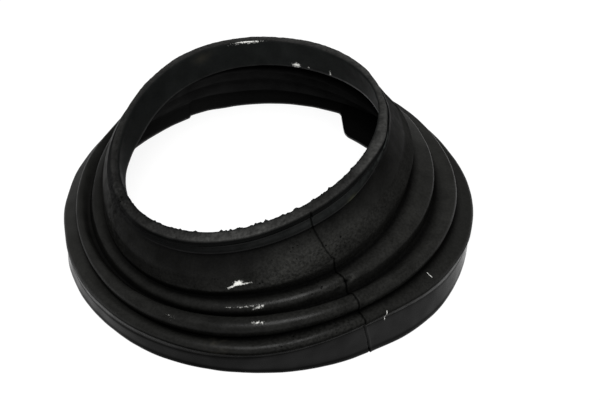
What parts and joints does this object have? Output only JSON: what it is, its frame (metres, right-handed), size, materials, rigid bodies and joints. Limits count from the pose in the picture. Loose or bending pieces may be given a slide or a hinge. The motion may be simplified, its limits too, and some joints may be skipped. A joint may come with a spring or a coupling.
{
  "type": "driveshaft boot",
  "caption": "Moulded rubber bellows boot with a wide skirt, folds, a clamp groove and a leaning sealing collar, to cover a shaft joint.",
  "frame": {"origin": "centre of the big end, in the plane of its bottom edge", "axes": "+Z from the big end up to the small end, the collar leans towards -X, the locating lug lies between +X and +Y"},
  "size_m": [0.1306, 0.1307, 0.0492],
  "materials": {
    "rubber": "used black moulded rubber, satin, with dust in the folds"
  },
  "bodies": {
    "root": {"driveshaft_boot": "rubber"}
  },
  "joints": []
}
